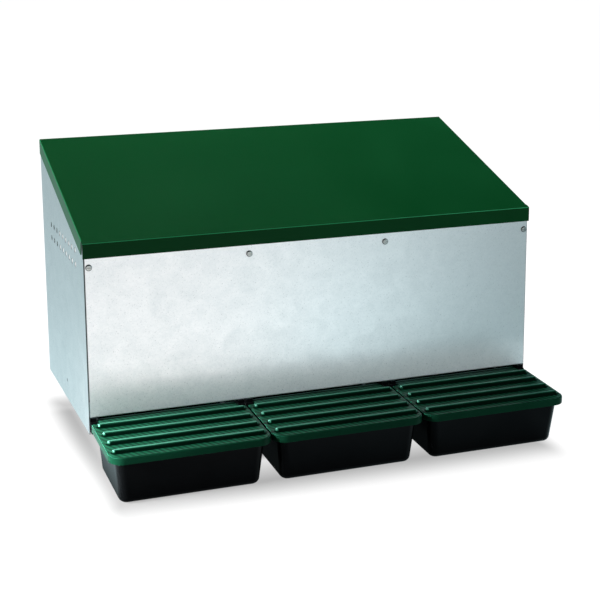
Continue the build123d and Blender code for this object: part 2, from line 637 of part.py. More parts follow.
def egg_tray(x):
    frame = tray_frame(x)
    upward = Axis(frame.origin, frame.z_dir)
    half = LID_WIDTH / 2 - TUB_INSET
    front = LID_REACH - TUB_INSET
    middle = (TUB_REAR - front) / 2
    with BuildPart() as tray:
        # Tapered tub, hollowed to an even wall
        for wall, low, mode in ((0, -TUB_FLOOR, Mode.ADD), (TUB_WALL, TUB_WALL - TUB_FLOOR, Mode.SUBTRACT)):
            for level in (RIM_TOP, low):
                inset = wall + (RIM_TOP - level) * tan(radians(TUB_DRAFT))
                with BuildSketch(frame.offset(level)):
                    with Locations((0, middle)):
                        length = TUB_REAR + front - 2 * inset
                        RectangleRounded(2 * (half - inset), length, TUB_CORNER_R - wall)
            loft(ruled=True, mode=mode)
        fillet(tray.edges().group_by(upward)[1], TUB_BASE_R - TUB_WALL)
        fillet(tray.edges().group_by(upward)[0], TUB_BASE_R)
        # The rear is cut down for the lid's tongue, and open below that for the eggs
        swing = frame.offset(-SWING_DEPTH)
        with BuildSketch(swing):
            with Locations((0, (TUB_REAR - RIM_REAR) / 2)):
                Rectangle(2 * half + TUB_WALL, TUB_REAR + RIM_REAR + TUB_WALL)
        extrude(amount=2 * SWING_DEPTH, mode=Mode.SUBTRACT)
        with BuildSketch(Plane.XY.offset(up(RAMP_FRONT_HEIGHT))):
            with Locations((x, back(RAMP_FRONT))):
                Rectangle(2 * WINDOW_HALF_WIDTH, 2 * TUB_REAR)
        extrude(amount=LID_AXIS_HEIGHT - RAMP_FRONT_HEIGHT, mode=Mode.SUBTRACT)
        # Rim under the lid
        rim_half = LID_WIDTH / 2 - LID_WALL - RIM_CLEARANCE
        rim_front = LID_REACH - LID_WALL - RIM_CLEARANCE
        with BuildSketch(frame.offset(RIM_TOP)):
            with Locations((0, -(rim_front + RIM_REAR) / 2)):
                Rectangle(2 * rim_half, rim_front - RIM_REAR)
            fillet(vertices().group_by(Axis.Y)[0], LID_CORNER_R - LID_WALL - RIM_CLEARANCE)
            with Locations((0, middle)):
                RectangleRounded(
                    2 * (half - TUB_WALL),
                    TUB_REAR + front - 2 * TUB_WALL,
                    TUB_CORNER_R - TUB_WALL,
                    mode=Mode.SUBTRACT,
                )
        extrude(amount=-TUB_WALL)
        # Ramp and cheeks under the nest floor
        with BuildSketch(Plane.YZ.offset(x - WINDOW_HALF_WIDTH - TUB_WALL)):
            plate([(back(RAMP_FRONT), up(RAMP_FRONT_HEIGHT)), (back(RAMP_REAR), up(RAMP_REAR_HEIGHT)),
                   (back(RAMP_REAR), up(RAMP_REAR_HEIGHT - TUB_WALL)),
                   (back(RAMP_FRONT), up(RAMP_FRONT_HEIGHT - TUB_WALL))])
        extrude(amount=2 * (WINDOW_HALF_WIDTH + TUB_WALL))
        for side in SIDES.values():
            with BuildSketch(Plane.YZ.offset(x + side * WINDOW_HALF_WIDTH)):
                plate([(back(RAMP_FRONT), up(RAMP_FRONT_HEIGHT - TUB_WALL)),
                       (back(RAMP_REAR), up(RAMP_REAR_HEIGHT - TUB_WALL)),
                       (back(RAMP_REAR), up(RAMP_REAR_HEIGHT)), (back(ARM_REAR), up(ARM_BOTTOM + TUB_WALL)),
                       (back(CHEEK_STEP), up(ARM_BOTTOM + TUB_WALL)), (back(CHEEK_STEP), up(0)),
                       (back(RAMP_FRONT), up(0))])
            extrude(amount=side * TUB_WALL)
            # Webs tie the cheeks to the arms
            with BuildSketch(Plane.YZ.offset(x + side * WINDOW_HALF_WIDTH)):
                plate([(back(CHEEK_STEP), up(ARM_BOTTOM)), (back(ARM_REAR), up(ARM_BOTTOM)),
                       (back(ARM_REAR), up(ARM_BOTTOM + TUB_WALL)),
                       (back(CHEEK_STEP), up(ARM_BOTTOM + TUB_WALL))])
            extrude(amount=side * (ARM_INNER - WINDOW_HALF_WIDTH))
            # Arms, with the ears that hold the lid's pins
            with BuildSketch(Plane.YZ.offset(x + side * ARM_INNER)):
                plate([(back(ARM_FRONT), up(ARM_BOTTOM)), (back(ARM_REAR), up(ARM_BOTTOM)),
                       (back(ARM_REAR), up(ARM_TOP)), (back(ARM_FRONT), up(ARM_TOP))])
                plate([(frame.origin.Y - EAR_R, up(ARM_BOTTOM)), (frame.origin.Y + EAR_R, up(ARM_BOTTOM)),
                       (frame.origin.Y + EAR_R, frame.origin.Z), (frame.origin.Y - EAR_R, frame.origin.Z)])
                with Locations((frame.origin.Y, frame.origin.Z)):
                    Circle(EAR_R)
            extrude(amount=side * ARM_WIDTH)
            with BuildSketch(Plane.YZ.offset(x + side * ARM_INNER)):
                with Locations((frame.origin.Y, frame.origin.Z)):
                    Circle(LID_PIN_R + PRESS_CLEARANCE)
            extrude(amount=side * ARM_WIDTH, mode=Mode.SUBTRACT)
    return tray.part


def tray_lid(x):
    frame = tray_frame(x)
    upward = Axis(frame.origin, frame.z_dir)
    half = LID_WIDTH / 2
    tongue_half = half - TONGUE_INSET
    rib_length = LID_WIDTH - 2 * RIB_MARGIN
    rib_places = [(0, -FIRST_RIB - step * RIB_PITCH) for step in range(RIB_COUNT)]
    with BuildPart() as lid:
        with BuildSketch(frame.offset(LID_TOP - LID_SKIRT)):
            with Locations((0, -(LID_REACH + LID_SHOULDER) / 2)):
                Rectangle(LID_WIDTH, LID_REACH - LID_SHOULDER)
            fillet(vertices().group_by(Axis.Y)[0], LID_CORNER_R)
        extrude(amount=LID_SKIRT)
        rim = lid.edges().group_by(upward)[-1].sort_by(Axis((0, 0, 0), frame.y_dir))
        fillet(rim[:-1], LID_EDGE_R)
        # Hollow under the main plate, open at the rear
        with BuildSketch(frame.offset(LID_TOP - LID_WALL)):
            with Locations((0, -(LID_REACH - LID_WALL) / 2)):
                Rectangle(LID_WIDTH - 2 * LID_WALL, LID_REACH - LID_WALL)
            fillet(vertices().group_by(Axis.Y)[0], LID_CORNER_R - LID_WALL)
        extrude(amount=-LID_SKIRT, mode=Mode.SUBTRACT)
        # Tongue that reaches under the front panel, with a knuckle at each end
        with BuildSketch(frame.offset(LID_TOP - LID_WALL)):
            with Locations((0, (LID_TONGUE - 2 * LID_SHOULDER) / 2)):
                Rectangle(2 * tongue_half, LID_TONGUE + 2 * LID_SHOULDER)
            fillet(vertices().group_by(Axis.Y)[-1], TONGUE_CORNER_R)
        extrude(amount=LID_WALL)
        for side in SIDES.values():
            with BuildSketch(Plane.YZ.offset(x + side * tongue_half)):
                with Locations((frame.origin.Y, frame.origin.Z)):
                    Circle(LID_TOP)
            extrude(amount=-side * LID_KNUCKLE)
            with BuildSketch(Plane.YZ.offset(x + side * tongue_half)):
                with Locations((frame.origin.Y, frame.origin.Z)):
                    Circle(LID_PIN_R + RUNNING_CLEARANCE)
            extrude(amount=-side * LID_KNUCKLE, mode=Mode.SUBTRACT)
        # Ribs, hollow underneath
        with BuildSketch(frame.offset(LID_TOP)):
            with Locations(*rib_places):
                SlotOverall(rib_length, RIB_WIDTH)
        extrude(amount=RIB_HEIGHT)
        fillet(lid.edges().group_by(upward)[-1], RIB_EDGE_R)
        with BuildSketch(frame.offset(LID_TOP - LID_WALL)):
            with Locations(*rib_places):
                SlotOverall(rib_length - 2 * LID_WALL, RIB_WIDTH - 2 * LID_WALL)
        extrude(amount=RIB_HEIGHT, mode=Mode.SUBTRACT)
    return lid.part


def lid_pins(x):
    frame = tray_frame(x)
    tip = LID_WIDTH / 2 - TONGUE_INSET - LID_KNUCKLE
    with BuildPart() as pins:
        for side in SIDES.values():
            with BuildSketch(Plane.YZ.offset(x + side * tip)):
                with Locations((frame.origin.Y, frame.origin.Z)):
                    Circle(LID_PIN_R)
            extrude(amount=side * (ARM_OUTER - tip))
            with BuildSketch(Plane.YZ.offset(x + side * ARM_OUTER)):
                with Locations((frame.origin.Y, frame.origin.Z)):
                    Circle(LID_PIN_HEAD_R)
            extrude(amount=side * LID_PIN_HEAD)
    return pins.part


for index, name in enumerate(NESTS):
    x = (index - 1) * NEST_PITCH
    save(egg_tray(x), f"{name}_egg_tray")
    save(tray_lid(x), f"{name}_tray_lid")
    save(lid_pins(x), f"{name}_lid_pins")


# Fasteners, made once along Z and set in their holes
with BuildPart() as screw:
    with BuildSketch(Plane.XY):
        Circle(SCREW_HEAD_R)
    extrude(amount=SCREW_HEAD_HEIGHT)
    fillet(screw.edges().group_by(Axis.Z)[-1], SCREW_HEAD_HEIGHT * 0.8)
    with BuildSketch(Plane.XY.offset(SCREW_HEAD_HEIGHT)):
        Rectangle(3 * SCREW_HEAD_R, SCREW_SLOT)
    extrude(amount=-SCREW_SLOT_DEPTH, mode=Mode.SUBTRACT)
    with BuildSketch(Plane.XY):
        Circle(SCREW_R)
    extrude(amount=-SCREW_LENGTH)

with BuildPart() as nut:
    with BuildSketch(Plane.XY):
        RegularPolygon(NUT_FLATS / 2, 6, major_radius=False)
        Circle(SCREW_R + THREAD_CLEARANCE, mode=Mode.SUBTRACT)
    extrude(amount=-NUT_HEIGHT)


def rivet(grip):
    with BuildPart() as body:
        with BuildSketch(Plane.XY):
            Circle(RIVET_HEAD_R)
        extrude(amount=RIVET_HEAD_HEIGHT)
        fillet(body.edges().group_by(Axis.Z)[-1], RIVET_HEAD_HEIGHT * 0.9)
        with BuildSketch(Plane.XY):
            Circle(RIVET_R)
        extrude(amount=-grip)
        with BuildSketch(Plane.XY.offset(-grip)):
            Circle(RIVET_TAIL_R)
        extrude(amount=-RIVET_TAIL_HEIGHT)
    return body.part


def set_out(piece, y, z_dir, places):
    """Copies of a fastener at these X and Z, with its head towards z_dir."""
    with BuildPart() as group:
        for place_x, place_z in places:
            with Locations(Plane(origin=(place_x, y, place_z), x_dir=(1, 0, 0), z_dir=z_dir)):
                add(piece)
    return group.part


FRONT = (0, -1, 0)
REAR = (0, 1, 0)
save(set_out(screw.part, back(0), FRONT, SCREW_PLACES), "front_panel_screws")
save(set_out(nut.part, back(2 * SHEET), FRONT, SCREW_PLACES), "front_panel_nuts")
rail_rear = back(BOX_DEPTH - RAIL_SETBACK)
save(set_out(rivet(2 * SHEET), rail_rear, REAR, HEADER_RIVETS + SILL_RIVETS), "divider_rivets")
save(set_out(rivet(SHEET + LEAF_THICKNESS), rail_rear, REAR, HINGE_RIVETS), "hinge_rivets")
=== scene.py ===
# %% [markdown]
# A nesting box for hens. The box is folded from galvanised sheet, its roof is
# a green painted sheet on two hinges, and along the front hang three black
# egg trays under green ribbed lids. The solids of all of these come from the
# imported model, so this lesson starts by loading them as a fixed frame in
# metres. Everything that is added later is set out from that frame, and from
# the places of its hinges.

# %% Load the frame
import json
import math
import random
import bpy
import bmesh
from mathutils import Matrix, Quaternion, Vector


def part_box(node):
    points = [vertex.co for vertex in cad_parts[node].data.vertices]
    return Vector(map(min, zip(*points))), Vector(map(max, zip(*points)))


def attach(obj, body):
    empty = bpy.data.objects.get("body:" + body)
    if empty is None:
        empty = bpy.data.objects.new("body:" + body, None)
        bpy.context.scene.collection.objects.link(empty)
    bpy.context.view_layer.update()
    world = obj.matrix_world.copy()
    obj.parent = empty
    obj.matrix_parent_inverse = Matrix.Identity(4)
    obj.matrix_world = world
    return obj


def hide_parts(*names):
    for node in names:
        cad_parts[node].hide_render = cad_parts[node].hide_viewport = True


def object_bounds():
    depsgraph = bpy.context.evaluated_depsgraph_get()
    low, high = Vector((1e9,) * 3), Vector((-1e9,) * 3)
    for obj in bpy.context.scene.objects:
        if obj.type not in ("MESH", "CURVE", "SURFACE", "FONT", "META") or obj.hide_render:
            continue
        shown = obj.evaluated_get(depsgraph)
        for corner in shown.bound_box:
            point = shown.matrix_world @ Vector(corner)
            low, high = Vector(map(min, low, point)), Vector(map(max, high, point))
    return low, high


MM = 0.001
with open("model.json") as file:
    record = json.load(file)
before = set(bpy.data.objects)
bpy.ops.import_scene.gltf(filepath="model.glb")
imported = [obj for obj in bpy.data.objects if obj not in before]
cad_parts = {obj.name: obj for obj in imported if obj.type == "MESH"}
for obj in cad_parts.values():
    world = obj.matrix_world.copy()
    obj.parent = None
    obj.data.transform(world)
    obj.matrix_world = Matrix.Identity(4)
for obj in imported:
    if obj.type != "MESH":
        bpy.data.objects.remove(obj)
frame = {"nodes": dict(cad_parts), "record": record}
nodes = frame["nodes"]
cad_box = [list(corner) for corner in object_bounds()]
joints = frame["record"]["behaviour"]["joints"]
hinge_places = {joint["name"]: Vector(joint["pos_m"]) for joint in joints if joint["type"] == "hinge"}
scene = bpy.context.scene
print("solids", len(nodes), "box", cad_box)

# %% [markdown]
# The camera stands in front of the box, to its left and a little above it.
# A long lens keeps the sheets' edges nearly parallel, as in a catalogue
# picture. A small downward shift lets the camera look less steeply down, so
# the uprights lean less.

# %% Camera
IMAGE_PIXELS, FOCAL_PIXELS, SENSOR_WIDTH = 600, 1376.0, 36.0
SHIFT_DOWN = -0.15
CAMERA_PLACE = (-0.906, -2.801, 0.665)
yaw, pitch, roll = math.radians(20.04), math.radians(11.47), math.radians(-0.36)
camera_data = bpy.data.cameras.new("studio_camera")
camera_data.sensor_width = SENSOR_WIDTH
camera_data.lens = FOCAL_PIXELS / IMAGE_PIXELS * SENSOR_WIDTH
camera_data.shift_y = SHIFT_DOWN
camera_data.clip_start, camera_data.clip_end = 0.05, 80.0
camera = bpy.data.objects.new("studio_camera", camera_data)
scene.collection.objects.link(camera)
looking = Vector((math.sin(yaw) * math.cos(pitch), math.cos(yaw) * math.cos(pitch), -math.sin(pitch)))
camera.location = CAMERA_PLACE
camera.rotation_mode = "QUATERNION"
camera.rotation_quaternion = looking.to_track_quat("-Z", "Y") @ Quaternion((0.0, 0.0, 1.0), roll)
scene.camera = camera
print("camera lens", round(camera_data.lens, 1), "mm")

# %% [markdown]
# Every material and the world are small node trees. A few helpers keep the
# cells short: add makes a node and sets its sockets, join links two sockets,
# feed takes a number, a colour or a link, maths and spread work on values,
# and blend_colour mixes colours. new_finish starts a material whose shader is
# ready to be fed.

# %% Node helpers
def add(tree, kind, **values):
    node = tree.nodes.new("ShaderNode" + kind)
    for key, value in values.items():
        if hasattr(node, key):
            setattr(node, key, value)
        else:
            node.inputs[key.replace("_", " ")].default_value = value
    return node


def join(tree, source, target):
    tree.links.new(source, target)


def feed(tree, value, socket):
    if isinstance(value, (int, float)):
        socket.default_value = value
    elif isinstance(value, tuple):
        socket.default_value = (*value, 1.0)
    else:
        join(tree, value, socket)


def maths(tree, operation, first, second=0.0, clamp=False):
    node = add(tree, "Math", operation=operation, use_clamp=clamp)
    feed(tree, first, node.inputs[0])
    feed(tree, second, node.inputs[1])
    return node.outputs[0]


def spread(tree, value, low, high, to_low, to_high, smooth=False):
    node = add(tree, "MapRange", interpolation_type="SMOOTHSTEP" if smooth else "LINEAR")
    join(tree, value, node.inputs["Value"])
    ends = (("From Min", low), ("From Max", high), ("To Min", to_low), ("To Max", to_high))
    for name, number in ends:
        node.inputs[name].default_value = number
    return node.outputs["Result"]


def by_identifier(sockets, identifier):
    return next(each for each in sockets if each.identifier == identifier)


def blend_colour(tree, factor, first, second, blend_type="MIX"):
    node = add(tree, "Mix", data_type="RGBA", blend_type=blend_type)
    feed(tree, factor, node.inputs["Factor"])
    feed(tree, first, by_identifier(node.inputs, "A_Color"))
    feed(tree, second, by_identifier(node.inputs, "B_Color"))
    return by_identifier(node.outputs, "Result_Color")


def new_finish(name, **values):
    material = bpy.data.materials.new(name)
    material.use_nodes = True
    tree = material.node_tree
    shader = tree.nodes["Principled BSDF"]
    for key, value in values.items():
        shader.inputs[key.replace("_", " ")].default_value = value
    coordinates = add(tree, "TexCoord")
    return material, tree, shader, coordinates.outputs["Object"]


print("node helpers ready")

# %% [markdown]
# The studio is a pale floor and a white surround. The camera sees both as
# white, and so does glass. Metal and gloss mirror the same white, but shaped as
# a studio shapes it: a broad strip of light on the floor in front, falling off
# to the right, a softer glow behind the box, and a dark ceiling over lamps on
# stands. A bare white room would make the sheets look flat. Ramps along the
# floor and up the sky give these shapes.

# %% Surround
def parts(tree, vector):
    node = add(tree, "SeparateXYZ")
    join(tree, vector, node.inputs[0])
    return node.outputs


def ramp(tree, value, low, high, stops):
    node = add(tree, "ValToRGB")
    node.color_ramp.interpolation = "EASE"
    elements = node.color_ramp.elements
    while len(elements) < len(stops):
        elements.new(0.5)
    for element, (position, colour) in zip(elements, sorted(stops)):
        element.position = (position - low) / (high - low)
        element.color = (*colour, 1.0)
    join(tree, spread(tree, value, low, high, 0.0, 1.0), node.inputs[0])
    return node.outputs["Color"]


def grey(value, blue=1.0):
    return (value, value * (1.0 + 0.22 * blue), value * (1.0 + 0.27 * blue))


WHITE, BLACK = (1.0, 1.0, 1.0), (0.0, 0.0, 0.0)
SURROUND_LIGHT = (0.09, 0.093, 0.096)
LIGHT_BY_HEIGHT = (
    (0.00, grey(0.45, 0.1)), (0.06, grey(0.60, 0.1)), (0.20, grey(1.90, 0.2)),
    (0.36, grey(1.70, 0.2)), (0.50, grey(0.02, 0.5)),
)
LIGHT_TO_RIGHT = ((-1.0, WHITE), (0.15, WHITE), (0.55, grey(0.68, 1.2)), (1.0, grey(0.45, 1.8)))
LIGHT_TO_REAR = ((-1.0, WHITE), (-0.30, WHITE), (0.10, grey(0.22, 1.4)), (1.0, grey(0.20, 1.4)))
scene.view_settings.view_transform = "Standard"
world = bpy.data.worlds.new("studio")
scene.world = world
world.use_nodes = True
sky = world.node_tree
sky.nodes.clear()
rays = add(sky, "LightPath").outputs
direction = parts(sky, add(sky, "TexCoord").outputs["Generated"])
upward = ramp(sky, direction["Z"], 0.0, 1.0, LIGHT_BY_HEIGHT)
rightward = ramp(sky, direction["X"], -1.0, 1.0, LIGHT_TO_RIGHT)
rearward = ramp(sky, direction["Y"], -1.0, 1.0, LIGHT_TO_REAR)
level_light = blend_colour(sky, 1.0, rightward, rearward, "MULTIPLY")
mirrored = blend_colour(sky, 1.0, upward, level_light, "MULTIPLY")
lit = blend_colour(sky, rays["Is Glossy Ray"], SURROUND_LIGHT, mirrored)
plain = maths(sky, "MAXIMUM", rays["Is Camera Ray"], rays["Is Transmission Ray"])
surround = add(sky, "Background")
join(sky, blend_colour(sky, plain, lit, WHITE), surround.inputs["Color"])
join(sky, surround.outputs[0], add(sky, "OutputWorld").inputs["Surface"])
print("surround ready")

# %% [markdown]
# The floor is one large square just below the trays.

# %% Floor
FLOOR_HALF, FLOOR_GAP = 25.0, 0.5 * MM
floor_height = cad_box[0][2] - FLOOR_GAP
floor_mesh = bpy.data.meshes.new("studio_floor")
bm = bmesh.new()
bmesh.ops.create_grid(bm, x_segments=1, y_segments=1, size=FLOOR_HALF)
bmesh.ops.translate(bm, verts=bm.verts, vec=(0.0, 0.0, floor_height))
bm.to_mesh(floor_mesh)
bm.free()
floor = bpy.data.objects.new("studio_floor", floor_mesh)
scene.collection.objects.link(floor)
print("floor at", round(floor_height, 4))

# %% [markdown]
# To the camera the floor glows as white as the surround, with a soft shade
# where the object stands over it. The shade follows the distance to two
# rounded rectangles, one under the whole object and one under the box alone,
# so it is darkest below the box and lighter between the trays. Lamps alone
# would either leave the paper grey or lose the shade in white.

# %% Floor: shade
FLOOR_GREY = (0.10, 0.10, 0.10, 1.0)
OBJECT_SHADE, BOX_SHADE, SHADE_MIDDLE = (0.415, 0.285), (0.36, 0.215), -0.015
SIDE_SHARPNESS = 2.0
pale_floor, tree, shader, place = new_finish(
    "pale_floor", Base_Color=FLOOR_GREY, Roughness=0.9, Specular_IOR_Level=0.0,
)
floor.data.materials.append(pale_floor)
spot = parts(tree, place)


def hypotenuse(tree, first, second):
    pair = add(tree, "CombineXYZ")
    join(tree, first, pair.inputs["X"])
    join(tree, second, pair.inputs["Y"])
    length = add(tree, "VectorMath", operation="LENGTH")
    join(tree, pair.outputs[0], length.inputs[0])
    return length.outputs["Value"]


def outside(half_width, half_depth):
    sideways = maths(tree, "ABSOLUTE", maths(tree, "SUBTRACT", spot["X"], SHADE_MIDDLE))
    across = maths(tree, "MULTIPLY", maths(tree, "SUBTRACT", sideways, half_width), SIDE_SHARPNESS)
    from_middle = maths(tree, "ABSOLUTE", maths(tree, "ADD", spot["Y"], half_depth))
    back = maths(tree, "SUBTRACT", from_middle, half_depth)
    away = hypotenuse(tree, maths(tree, "MAXIMUM", across, 0.0), maths(tree, "MAXIMUM", back, 0.0))
    within = maths(tree, "MINIMUM", maths(tree, "MAXIMUM", across, back), 0.0)
    return maths(tree, "ADD", away, within)


beyond, beyond_box = outside(*OBJECT_SHADE), outside(*BOX_SHADE)
off_object = spread(tree, beyond, -0.02, 0.10, 0.44, 1.0, smooth=True)
under_trays = spread(tree, beyond, -0.13, -0.02, 0.85, 0.44)
off_box = spread(tree, beyond_box, -0.02, 0.03, 0.0, 1.0)
bright = maths(tree, "MULTIPLY", off_box, maths(tree, "MAXIMUM", off_object, under_trays))
rays = add(tree, "LightPath").outputs
seen = maths(tree, "MAXIMUM", rays["Is Camera Ray"], rays["Is Transmission Ray"])
white_glow = add(tree, "Emission")
join(tree, maths(tree, "MULTIPLY", seen, bright), white_glow.inputs["Strength"])
lit_floor = add(tree, "AddShader")
join(tree, shader.outputs[0], lit_floor.inputs[0])
join(tree, white_glow.outputs[0], lit_floor.inputs[1])
print("floor shade", OBJECT_SHADE, BOX_SHADE)

# %% [markdown]
# Metal mirrors the same floor as a strip of light in front of the box, which
# runs at a slant and dims to the right, and as a glow around it, with the
# dark of the object between. This is what gives the front panel its sweep
# from white to grey.

# %% Floor: mirrored strip
STRIP_SLANT, STRIP_STRENGTH, OBJECT_DARK = 0.5, 1.21, 0.97
STRIP_LIGHT = (
    (-2.50, WHITE), (-0.56, WHITE), (-0.24, grey(0.79)), (0.12, grey(0.25, 2.0)),
    (0.45, grey(0.10, 2.0)),
)
AROUND_LIGHT = ((0.5, grey(0.50, 1.4)), (1.3, grey(0.38, 1.4)), (2.6, grey(0.30, 1.4)))
distance = add(tree, "VectorMath", operation="LENGTH")
join(tree, place, distance.inputs[0])
slanted = maths(tree, "ADD", spot["X"], maths(tree, "MULTIPLY", spot["Y"], STRIP_SLANT))
front_strip = ramp(tree, slanted, -2.5, 0.5, STRIP_LIGHT)
distant = spread(tree, spot["Y"], -1.3, -2.6, 0.0, 0.34, smooth=True)
front_strip = blend_colour(tree, distant, front_strip, BLACK)
around = ramp(tree, distance.outputs["Value"], 0.0, 3.0, AROUND_LIGHT)
in_front = spread(tree, spot["Y"], -0.40, -0.85, 0.0, 1.0, smooth=True)
mirrored = blend_colour(tree, in_front, around, front_strip)
dark = spread(tree, beyond, -0.04, 0.14, OBJECT_DARK, 0.0, smooth=True)
strip_glow = add(tree, "Emission", Strength=STRIP_STRENGTH)
join(tree, blend_colour(tree, dark, mirrored, BLACK), strip_glow.inputs["Color"])
both = add(tree, "MixShader")
join(tree, rays["Is Glossy Ray"], both.inputs[0])
join(tree, lit_floor.outputs[0], both.inputs[1])
join(tree, strip_glow.outputs[0], both.inputs[2])
join(tree, both.outputs[0], tree.nodes["Material Output"].inputs["Surface"])
print("finish", pale_floor.name)

# %% [markdown]
# Four soft boxes light the paint and the plastic. The largest stands at the
# left and lights the left side. A weak one at the front right lifts the roof's
# lip and the trays. One hangs behind and above for the roof, so that the lids
# stay in the box's shade, and a small one with a grid skims the lids from the
# left, so that they darken from lid to lid. The metal already mirrors the
# surround, so the lamps are hidden from mirrors.

# %% Lamps
LID_GRID = math.radians(40.0)


def soft_box(name, place, target, size, watts):
    data = bpy.data.lights.new(name, "AREA")
    data.shape = "RECTANGLE"
    data.size, data.size_y = size
    data.energy = watts
    lamp = bpy.data.objects.new(name, data)
    lamp.location = place
    lamp.rotation_mode = "QUATERNION"
    lamp.rotation_quaternion = (Vector(target) - Vector(place)).to_track_quat("-Z", "Y")
    lamp.visible_glossy = False
    scene.collection.objects.link(lamp)
    return lamp


soft_box("left_soft_box", (-2.6, 0.1, 0.3), (-0.45, -0.2, 0.1), (1.6, 0.8), 92.0)
soft_box("right_soft_box", (1.35, -1.7, -0.02), (0.45, -0.42, 0.0), (0.8, 0.6), 9.0)
soft_box("rear_soft_box", (0.0, 1.3, 2.4), (0.0, -0.1, 0.2), (2.0, 0.8), 126.0)
lid_light = soft_box("low_soft_box", (-1.05, -0.60, 0.02), (-0.46, -0.5, -0.24), (0.3, 0.2), 1.65)
lid_light.data.spread = LID_GRID
print("lamps", len(bpy.data.lights))

# %% [markdown]
# Zinc on a sheet freezes in small crystals, and each takes the light a little
# differently. Over these lie broad pale clouds, faint streaks along the
# rolling direction and a few dark specks. The sheet, the fasteners and the
# hinges all show this at their own scale, so it is a node group with the
# scales as inputs. A cell texture gives the crystals, and three noises the rest.

# %% Group: zinc crystals
def new_group(name, inputs, outputs):
    group = bpy.data.node_groups.new(name, "ShaderNodeTree")
    for title, kind, value in inputs:
        socket = group.interface.new_socket(title, in_out="INPUT", socket_type=kind)
        if value is not None:
            socket.default_value = value
    for title in outputs:
        group.interface.new_socket(title, in_out="OUTPUT", socket_type="NodeSocketFloat")
    return group, group.nodes.new("NodeGroupInput"), group.nodes.new("NodeGroupOutput")


def use_group(tree, group, place, **values):
    node = tree.nodes.new("ShaderNodeGroup")
    node.node_tree = group
    join(tree, place, node.inputs["Place"])
    for key, value in values.items():
        node.inputs[key.replace("_", " ")].default_value = value
    return node.outputs


CELL_SHARE, CLOUD_SHARE, STREAK_SHARE = 0.30, 0.50, 0.20
STREAKS_PER_METRE, SPECKS_PER_METRE = (9.0, 9.0, 260.0), 430.0
zinc_crystals, start, end = new_group(
    "zinc_crystals",
    (("Place", "NodeSocketVector", None), ("Crystals per metre", "NodeSocketFloat", 300.0),
     ("Clouds per metre", "NodeSocketFloat", 22.0)),
    ("Tone", "Height", "Specks"),
)
cells = add(zinc_crystals, "TexVoronoi", feature="F1")
join(zinc_crystals, start.outputs["Place"], cells.inputs["Vector"])
join(zinc_crystals, start.outputs["Crystals per metre"], cells.inputs["Scale"])
cell_tone = add(zinc_crystals, "SeparateColor")
join(zinc_crystals, cells.outputs["Color"], cell_tone.inputs[0])
clouds = add(zinc_crystals, "TexNoise", Detail=5.0, Roughness=0.62, Distortion=0.8)
join(zinc_crystals, start.outputs["Place"], clouds.inputs["Vector"])
join(zinc_crystals, start.outputs["Clouds per metre"], clouds.inputs["Scale"])
rolled = add(zinc_crystals, "Mapping")
rolled.inputs["Scale"].default_value = STREAKS_PER_METRE
join(zinc_crystals, start.outputs["Place"], rolled.inputs["Vector"])
streaks = add(zinc_crystals, "TexNoise", Scale=1.0, Detail=3.0, Roughness=0.55)
join(zinc_crystals, rolled.outputs[0], streaks.inputs["Vector"])
dots = add(zinc_crystals, "TexNoise", Scale=SPECKS_PER_METRE, Detail=2.0, Roughness=0.5)
join(zinc_crystals, start.outputs["Place"], dots.inputs["Vector"])
cloud_tone = spread(zinc_crystals, clouds.outputs["Fac"], 0.3, 0.7, 0.0, 1.0)
cell_part = maths(zinc_crystals, "MULTIPLY", cell_tone.outputs[0], CELL_SHARE)
cloud_part = maths(zinc_crystals, "MULTIPLY", cloud_tone, CLOUD_SHARE)
streak_part = maths(zinc_crystals, "MULTIPLY", streaks.outputs["Fac"], STREAK_SHARE)
two_parts = maths(zinc_crystals, "ADD", cell_part, cloud_part)
join(zinc_crystals, maths(zinc_crystals, "ADD", two_parts, streak_part, clamp=True), end.inputs["Tone"])
join(zinc_crystals, maths(zinc_crystals, "ADD", cell_part, streak_part), end.inputs["Height"])
join(zinc_crystals, spread(zinc_crystals, dots.outputs["Fac"], 0.62, 0.80, 0.0, 1.0), end.inputs["Specks"])
print("group", zinc_crystals.name, len(zinc_crystals.nodes), "nodes")

# %% [markdown]
# Paint and moulded plastic are never quite smooth. A fine noise makes the
# orange peel of a sprayed coat or the grain of a mould, and a slow noise
# makes one part of a panel a shade lighter than another.

# %% Group: fine grain
fine_grain, start, end = new_group(
    "fine_grain",
    (("Place", "NodeSocketVector", None), ("Grains per metre", "NodeSocketFloat", 700.0),
     ("Patches per metre", "NodeSocketFloat", 12.0)),
    ("Grain", "Patch"),
)
grain = add(fine_grain, "TexNoise", Detail=3.0, Roughness=0.5)
join(fine_grain, start.outputs["Place"], grain.inputs["Vector"])
join(fine_grain, start.outputs["Grains per metre"], grain.inputs["Scale"])
patch = add(fine_grain, "TexNoise", Detail=4.0, Roughness=0.55, Distortion=0.4)
join(fine_grain, start.outputs["Place"], patch.inputs["Vector"])
join(fine_grain, start.outputs["Patches per metre"], patch.inputs["Scale"])
join(fine_grain, grain.outputs["Fac"], end.inputs["Grain"])
join(fine_grain, spread(fine_grain, patch.outputs["Fac"], 0.3, 0.7, 0.0, 1.0), end.inputs["Patch"])
print("group", fine_grain.name)

# %% [markdown]
# Where a part is handled, its edges rub paler than its faces. The Bevel node
# rounds the shading normal near an edge, so the place where it leaves the
# true normal is the edge, and a noise breaks that line up.

